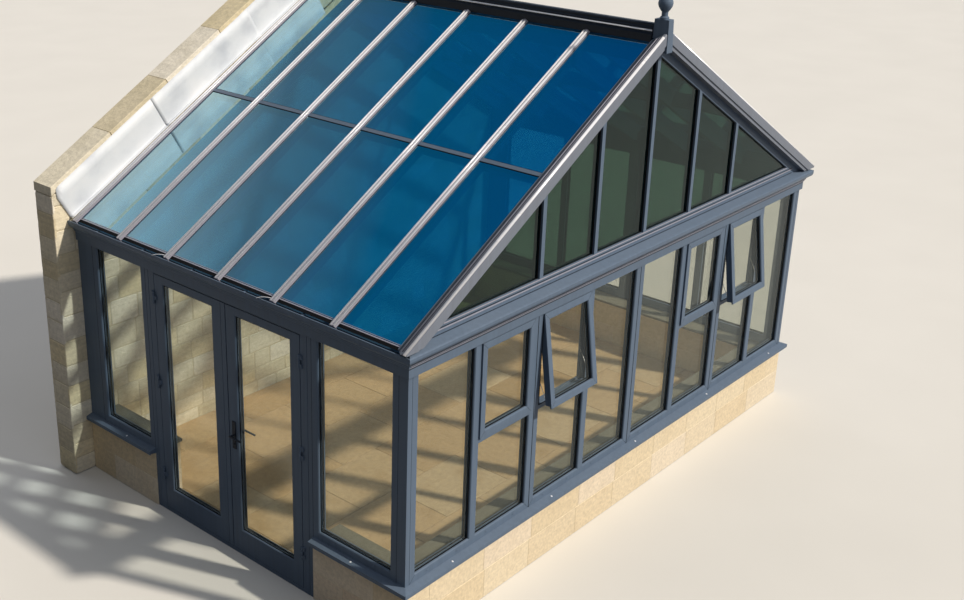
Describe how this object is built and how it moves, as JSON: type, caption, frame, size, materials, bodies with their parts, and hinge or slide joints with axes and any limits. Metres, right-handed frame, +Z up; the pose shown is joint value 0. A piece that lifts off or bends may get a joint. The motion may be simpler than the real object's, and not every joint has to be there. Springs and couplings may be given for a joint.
{
  "type": "conservatory",
  "caption": "Gable-fronted aluminium conservatory with a blue glass roof on a dwarf stone wall, built against a gable wall, with outward double doors in one side",
  "frame": {"origin": "middle of the plan on the ground, halfway between the outermost faces", "axes": "+Z up; the glazed gable front looks along -Y; the stone gable wall stands at +Y; +X is to the right seen from the front, the double doors are in the -X side"},
  "size_m": [5.932, 4.0318, 4.4854],
  "materials": {
    "anthracite_frames": "satin powder coat",
    "silver_capping": "satin metallic powder coat",
    "clear_double_glazing": "clear, slightly green",
    "blue_solar_glazing": "blue solar-control glass",
    "rendered_sandstone": "smooth pale sandstone",
    "pale_limestone": "coursed pale limestone",
    "floor_stone": "honed pale floor stone",
    "sill_stone": "honed grey-buff stone",
    "black_hardware": "satin black powder coat",
    "hinge_steel": "satin powder coat",
    "sheet_lead": "weathered pale lead"
  },
  "bodies": {
    "building": {"floor_slab": "floor_stone", "front_dwarf_wall": "rendered_sandstone", "left_front_dwarf_wall": "rendered_sandstone", "left_rear_dwarf_wall": "rendered_sandstone", "right_dwarf_wall": "rendered_sandstone", "back_wall": "pale_limestone", "front_sill": "anthracite_frames", "side_sills": "anthracite_frames", "window_boards": "sill_stone", "posts": "anthracite_frames", "front_frame_1": "anthracite_frames", "front_frame_2": "anthracite_frames", "front_frame_3": "anthracite_frames", "front_frame_4": "anthracite_frames", "front_glass": "clear_double_glazing", "closed_vents": "anthracite_frames", "open_vents": "anthracite_frames", "vent_glass": "clear_double_glazing", "left_light_frames": "anthracite_frames", "left_light_glass": "clear_double_glazing", "right_frames": "anthracite_frames", "right_glass": "clear_double_glazing", "door_frame": "anthracite_frames", "door_hinges": "hinge_steel", "left_eaves_beam": "anthracite_frames", "right_eaves_beam": "anthracite_frames", "gable_beam": "anthracite_frames", "gable_frame": "anthracite_frames", "gable_glass": "clear_double_glazing", "left_roof_bars": "anthracite_frames", "right_roof_bars": "anthracite_frames", "bar_caps": "silver_capping", "left_roof_glass": "blue_solar_glazing", "right_roof_glass": "blue_solar_glazing", "ridge_beam": "anthracite_frames", "ridge_capping": "anthracite_frames", "verge_cappings": "anthracite_frames", "apex_block": "anthracite_frames", "finial": "anthracite_frames", "lead_flashings": "sheet_lead"},
    "left_door": {"left_door_leaf": "anthracite_frames", "left_door_glass": "clear_double_glazing"},
    "right_door": {"right_door_leaf": "anthracite_frames", "right_door_glass": "clear_double_glazing", "door_handles": "black_hardware"}
  },
  "joints": [
    {"name": "left_door_hinge", "type": "hinge", "parent": "building", "child": "left_door", "pos_m": [-2.768, 0.75891, 0], "axis": [0, 0, -1], "range_deg": [0, 95]},
    {"name": "right_door_hinge", "type": "hinge", "parent": "building", "child": "right_door", "pos_m": [-2.768, -0.87909, 0], "axis": [0, 0, 1], "range_deg": [0, 95]}
  ]
}
